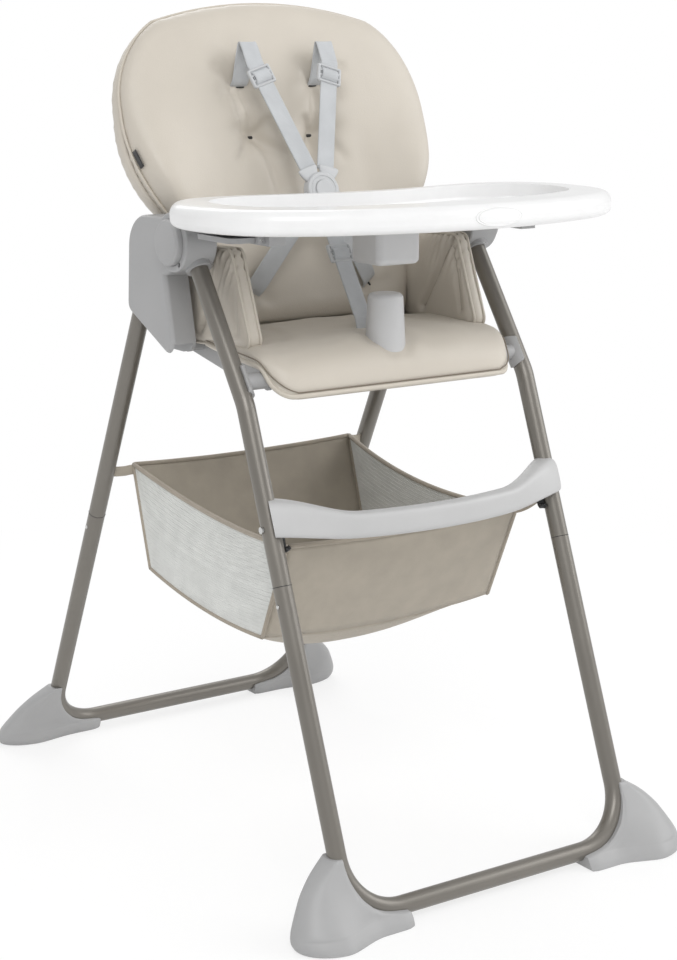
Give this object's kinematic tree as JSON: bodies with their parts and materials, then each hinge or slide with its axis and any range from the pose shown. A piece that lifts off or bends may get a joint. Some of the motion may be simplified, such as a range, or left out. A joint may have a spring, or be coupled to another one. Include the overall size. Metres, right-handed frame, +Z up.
{
  "type": "baby high chair",
  "caption": "Folding baby high chair: splayed tube legs, padded seat and back with a harness, sliding tray, footrest bar and a cloth basket under the seat.",
  "frame": {"origin": "on the floor, under the middle of the chair's bounding box", "axes": "+Z up, the child looks towards -Y, +X to the right of the chair seen from the front"},
  "size_m": [0.5636, 0.857, 1.0157],
  "materials": {
    "frame_paint": "satin",
    "grey_plastic": "satin",
    "button_plastic": "satin",
    "back_board": "satin",
    "footrest_plastic": "satin",
    "tray_plastic": "gloss",
    "leatherette": "satin",
    "webbing": "matte",
    "buckle_plastic": "satin",
    "basket_cloth": "matte",
    "basket_net": "matte",
    "black_plastic": "satin",
    "steel": "satin"
  },
  "bodies": {
    "chair": {"back_cushion": "leatherette", "backrest_shell": "back_board", "basket_base": "basket_cloth", "basket_front_clips": "black_plastic", "basket_front_panel": "basket_cloth", "basket_mesh_left": "basket_net", "basket_mesh_right": "basket_net", "basket_rear_panel": "basket_cloth", "buckle_body": "buckle_plastic", "button_springs": "steel", "crotch_post": "grey_plastic", "crotch_strap": "webbing", "cushion_wing_left": "leatherette", "cushion_wing_right": "leatherette", "footrest": "footrest_plastic", "footrest_screws": "steel", "front_foot_left": "grey_plastic", "front_foot_right": "grey_plastic", "front_joint_pins": "steel", "front_lower_frame": "frame_paint", "front_upper_tubes": "frame_paint", "housing_cover_left": "grey_plastic", "housing_cover_right": "grey_plastic", "housing_screws": "steel", "leg_rivets": "steel", "leg_socket_left": "grey_plastic", "leg_socket_right": "grey_plastic", "pivot_pins": "steel", "seat_brackets": "grey_plastic", "seat_cushion": "leatherette", "seat_mounts": "grey_plastic", "seat_shell": "grey_plastic", "shell_bolts": "steel", "shoulder_straps": "webbing", "side_housing_left": "grey_plastic", "side_housing_right": "grey_plastic", "strap_anchors": "steel", "tray_rails": "grey_plastic", "waist_straps": "webbing"},
    "rear_frame": {"rear_lower_frame": "frame_paint", "rear_upper_tubes": "frame_paint", "rear_joint_pins": "steel", "rear_foot_left": "grey_plastic", "rear_foot_right": "grey_plastic", "rear_leg_heads": "grey_plastic", "basket_rear_straps": "basket_cloth"},
    "tray": {"tray": "tray_plastic", "tray_divider": "grey_plastic", "tray_bracket_left": "grey_plastic", "tray_bracket_right": "grey_plastic", "latch_pins": "steel", "tray_screws": "steel"},
    "tray_latch_left": {"tray_latch_left": "grey_plastic"},
    "tray_latch_right": {"tray_latch_right": "grey_plastic"},
    "fold_button_left": {"fold_button_left": "button_plastic"},
    "fold_button_right": {"fold_button_right": "button_plastic"},
    "buckle_button": {"buckle_button": "buckle_plastic"},
    "shoulder_adjuster_left": {"shoulder_adjuster_left": "buckle_plastic"},
    "shoulder_adjuster_right": {"shoulder_adjuster_right": "buckle_plastic"},
    "crotch_adjuster": {"crotch_adjuster": "buckle_plastic"}
  },
  "joints": [
    {"name": "rear_fold", "type": "hinge", "parent": "chair", "child": "rear_frame", "pos_m": [0, 0.0376, 0.725], "axis": [-1, 0, 0], "range_deg": [0, 52]},
    {"name": "tray_slide", "type": "slide", "parent": "chair", "child": "tray", "axis": [0, -1, 0], "range_m": [0, 0.085]},
    {"name": "tray_latch_right_lift", "type": "hinge", "parent": "tray", "child": "tray_latch_right", "pos_m": [0.1942, -0.1435, 0.75491], "axis": [0, -1, 0], "range_deg": [0, 5], "stiffness_Nm_per_rad": 1.2, "springref_deg": -2.86},
    {"name": "tray_latch_left_lift", "type": "hinge", "parent": "tray", "child": "tray_latch_left", "pos_m": [-0.1942, -0.1435, 0.75491], "axis": [0, 1, 0], "range_deg": [0, 5], "stiffness_Nm_per_rad": 1.2, "springref_deg": -2.86},
    {"name": "fold_button_right_press", "type": "slide", "parent": "chair", "child": "fold_button_right", "axis": [-1, 0, 0], "range_m": [0, 0.005], "stiffness_N_per_m": 1500, "springref_m": -0.001, "deforming": ["button_springs"]},
    {"name": "fold_button_left_press", "type": "slide", "parent": "chair", "child": "fold_button_left", "axis": [1, 0, 0], "range_m": [0, 0.005], "stiffness_N_per_m": 1500, "springref_m": -0.001, "deforming": ["button_springs"]},
    {"name": "buckle_press", "type": "slide", "parent": "chair", "child": "buckle_button", "axis": [0, 0.9588, -0.284], "range_m": [0, 0.003], "stiffness_N_per_m": 900, "springref_m": -0.001},
    {"name": "shoulder_adjuster_right_slide", "type": "slide", "parent": "chair", "child": "shoulder_adjuster_right", "axis": [-0.294, -0.3771, -0.8783], "range_m": [0, 0.04]},
    {"name": "shoulder_adjuster_left_slide", "type": "slide", "parent": "chair", "child": "shoulder_adjuster_left", "axis": [0.294, -0.3771, -0.8783], "range_m": [0, 0.04]},
    {"name": "crotch_adjuster_slide", "type": "slide", "parent": "chair", "child": "crotch_adjuster", "axis": [0, -0.5595, -0.8288], "range_m": [0, 0.04]}
  ]
}
